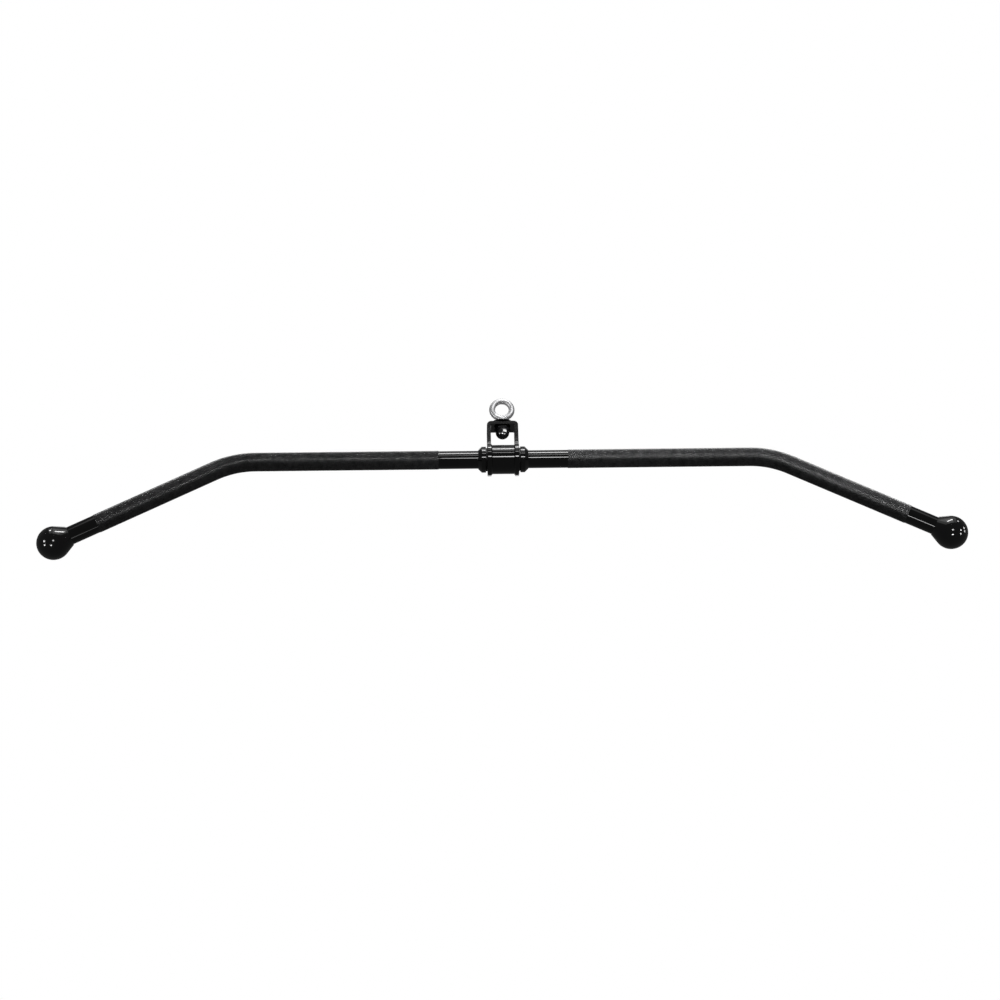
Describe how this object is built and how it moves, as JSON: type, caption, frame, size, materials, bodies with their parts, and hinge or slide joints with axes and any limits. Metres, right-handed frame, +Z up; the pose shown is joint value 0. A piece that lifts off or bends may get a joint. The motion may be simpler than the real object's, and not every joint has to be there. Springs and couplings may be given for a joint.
{
  "type": "lat pulldown bar",
  "caption": "Bent steel lat pulldown bar with knurled grips and ball ends, free to turn in a sleeve under a swivelling eye bolt hanger.",
  "frame": {"origin": "centre of the hole in the eye bolt, where the cable's snap hook goes", "axes": "+X along the bar to the picture's right, +Y away from the pictured front, +Z up, with the bar hanging below the eye and both arms bent down"},
  "size_m": [1.219, 0.045, 0.2338],
  "materials": {
    "bar_enamel": "gloss black enamel over steel on the smooth parts, satin black over the knurled grips",
    "hanger_enamel": "gloss black enamel over steel",
    "ball_plastic": "polished black moulded plastic",
    "bearing_nylon": "satin black nylon",
    "black_oxide": "black oxide on steel, lightly oiled",
    "zinc_plate": "bright zinc plate over a forged surface"
  },
  "bodies": {
    "eye": {"eye_bolt": "zinc_plate", "dome_nut": "hanger_enamel"},
    "hanger": {"hanger_bracket": "hanger_enamel", "pivot_sleeve": "hanger_enamel", "sleeve_bush_left": "bearing_nylon", "sleeve_bush_right": "bearing_nylon", "weld_bead_left": "hanger_enamel", "weld_bead_right": "hanger_enamel", "swivel_bush": "bearing_nylon", "upper_thrust_washer": "black_oxide", "lower_thrust_washer": "black_oxide"},
    "bar": {"bar": "bar_enamel", "ball_end_left": "ball_plastic", "ball_end_right": "ball_plastic", "stop_collar_left": "hanger_enamel", "stop_collar_right": "hanger_enamel", "collar_screw_left_upper": "black_oxide", "collar_screw_left_lower": "black_oxide", "collar_screw_right_upper": "black_oxide", "collar_screw_right_lower": "black_oxide"}
  },
  "joints": [
    {"name": "eye_swivel", "type": "hinge", "parent": "eye", "child": "hanger", "pos_m": [0, 0, 0], "axis": [0, 0, 1], "continuous": true},
    {"name": "bar_spin", "type": "hinge", "parent": "hanger", "child": "bar", "pos_m": [0, 0, -0.0772], "axis": [1, 0, 0], "continuous": true}
  ]
}
